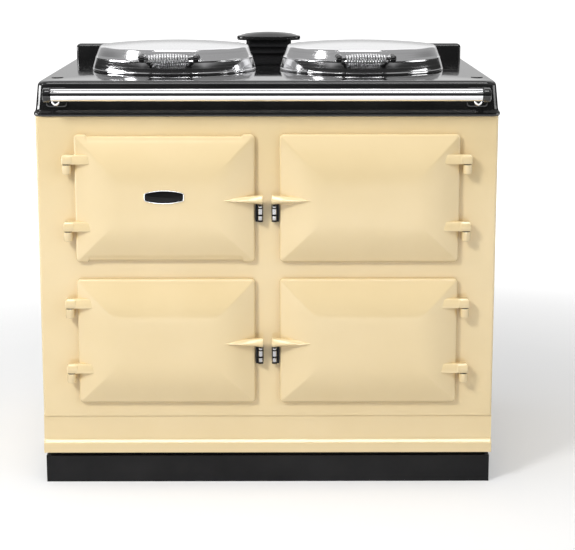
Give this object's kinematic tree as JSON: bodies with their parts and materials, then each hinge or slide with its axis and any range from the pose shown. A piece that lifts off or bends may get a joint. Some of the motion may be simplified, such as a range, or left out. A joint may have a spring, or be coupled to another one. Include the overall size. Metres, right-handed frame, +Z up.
{
  "type": "range cooker",
  "caption": "Heat-storage range cooker with enamelled hinged doors, cast ovens, domed hotplate lids and a front rail.",
  "frame": {"origin": "on the floor, under the middle of the cooker's bounding box", "axes": "+Z up, +X to the right seen from the front, front with doors and rail towards -Y"},
  "size_m": [0.997, 0.715, 0.958],
  "materials": {
    "enamel_cream": "gloss vitreous enamel",
    "enamel_black": "gloss vitreous enamel",
    "satin_black": "satin paint",
    "chrome": "bright plate",
    "polished_steel": "polished dome",
    "cast_iron": "bare machined and cast",
    "sheet_steel": "bright sheet",
    "wire_steel": "plated wire",
    "heater": "oxidised sheath",
    "black_plastic": "moulded",
    "mineral_wool": "fibrous",
    "rope_seal": "woven glass rope"
  },
  "bodies": {
    "cooker_body": {"plinth": "satin_black", "levelling_feet": "satin_black", "base_tray": "satin_black", "side_panel_left": "enamel_cream", "side_panel_right": "enamel_cream", "back_panel": "sheet_steel", "cable_gland": "black_plastic", "front_plate": "enamel_cream", "skirt_panel": "enamel_cream", "top_plate": "enamel_black", "plate_plugs": "enamel_black", "hotplate_left": "cast_iron", "hotplate_right": "cast_iron", "hotplate_elements": "heater", "rear_upstand": "enamel_black", "vent_neck": "satin_black", "vent_cap": "enamel_black", "handrail_tube": "chrome", "handrail_brackets": "enamel_black", "handrail_bolts": "chrome", "hinge_pintles": "enamel_cream", "hinge_washers": "black_plastic", "catch_brackets": "satin_black", "oven_simmering": "cast_iron", "oven_baking": "cast_iron", "oven_roasting": "cast_iron", "oven_shelves": "wire_steel", "oven_elements": "heater", "insulation_core": "mineral_wool", "control_panel": "satin_black", "control_module": "black_plastic", "lid_hinge_brackets": "satin_black", "lid_hinge_pins": "wire_steel"},
    "control_door": {"door_control": "enamel_cream", "badge_plate": "enamel_black", "badge_rim": "chrome"},
    "roasting_door": {"door_roasting": "enamel_cream", "door_liner_roasting": "sheet_steel", "door_seal_roasting": "rope_seal"},
    "simmering_door": {"door_simmering": "enamel_cream", "door_liner_simmering": "sheet_steel", "door_seal_simmering": "rope_seal"},
    "baking_door": {"door_baking": "enamel_cream", "door_liner_baking": "sheet_steel", "door_seal_baking": "rope_seal"},
    "control_roller": {"catch_roller_control": "chrome"},
    "roasting_roller": {"catch_roller_roasting": "chrome"},
    "simmering_roller": {"catch_roller_simmering": "chrome"},
    "baking_roller": {"catch_roller_baking": "chrome"},
    "left_knob": {"control_knob_left": "black_plastic"},
    "middle_knob": {"control_knob_middle": "black_plastic"},
    "right_knob": {"control_knob_right": "black_plastic"},
    "left_lid": {"lid_shell_left": "polished_steel", "lid_liner_left": "sheet_steel", "lid_handle_frame_left": "satin_black", "lid_handle_coil_left": "chrome"},
    "right_lid": {"lid_shell_right": "polished_steel", "lid_liner_right": "sheet_steel", "lid_handle_frame_right": "satin_black", "lid_handle_coil_right": "chrome"}
  },
  "joints": [
    {"name": "control_door_hinge", "type": "hinge", "parent": "cooker_body", "child": "control_door", "pos_m": [-0.42725, -0.3115, 0.639], "axis": [0, 0, -1], "range_deg": [0, 120]},
    {"name": "roasting_door_hinge", "type": "hinge", "parent": "cooker_body", "child": "roasting_door", "pos_m": [0.42725, -0.3115, 0.639], "axis": [0, 0, 1], "range_deg": [0, 120]},
    {"name": "simmering_door_hinge", "type": "hinge", "parent": "cooker_body", "child": "simmering_door", "pos_m": [-0.42725, -0.3115, 0.325], "axis": [0, 0, -1], "range_deg": [0, 120]},
    {"name": "baking_door_hinge", "type": "hinge", "parent": "cooker_body", "child": "baking_door", "pos_m": [0.42725, -0.3115, 0.325], "axis": [0, 0, 1], "range_deg": [0, 120]},
    {"name": "control_roller_spin", "type": "hinge", "parent": "cooker_body", "child": "control_roller", "pos_m": [-0.01505, -0.3075, 0.6256], "axis": [0, 0, 1], "continuous": true},
    {"name": "roasting_roller_spin", "type": "hinge", "parent": "cooker_body", "child": "roasting_roller", "pos_m": [0.01505, -0.3075, 0.6256], "axis": [0, 0, 1], "continuous": true},
    {"name": "simmering_roller_spin", "type": "hinge", "parent": "cooker_body", "child": "simmering_roller", "pos_m": [-0.01505, -0.3075, 0.3116], "axis": [0, 0, 1], "continuous": true},
    {"name": "baking_roller_spin", "type": "hinge", "parent": "cooker_body", "child": "baking_roller", "pos_m": [0.01505, -0.3075, 0.3116], "axis": [0, 0, 1], "continuous": true},
    {"name": "left_knob_turn", "type": "hinge", "parent": "cooker_body", "child": "left_knob", "pos_m": [-0.31125, -0.2275, 0.639], "axis": [0, -1, 0], "range_deg": [0, 270]},
    {"name": "middle_knob_turn", "type": "hinge", "parent": "cooker_body", "child": "middle_knob", "pos_m": [-0.21925, -0.2275, 0.639], "axis": [0, -1, 0], "range_deg": [0, 270]},
    {"name": "right_knob_turn", "type": "hinge", "parent": "cooker_body", "child": "right_knob", "pos_m": [-0.12725, -0.2275, 0.639], "axis": [0, -1, 0], "range_deg": [0, 270]},
    {"name": "left_lid_hinge", "type": "hinge", "parent": "cooker_body", "child": "left_lid", "pos_m": [-0.2155, 0.228, 0.912], "axis": [-1, 0, 0], "range_deg": [0, 95]},
    {"name": "right_lid_hinge", "type": "hinge", "parent": "cooker_body", "child": "right_lid", "pos_m": [0.2155, 0.228, 0.912], "axis": [-1, 0, 0], "range_deg": [0, 95]}
  ]
}
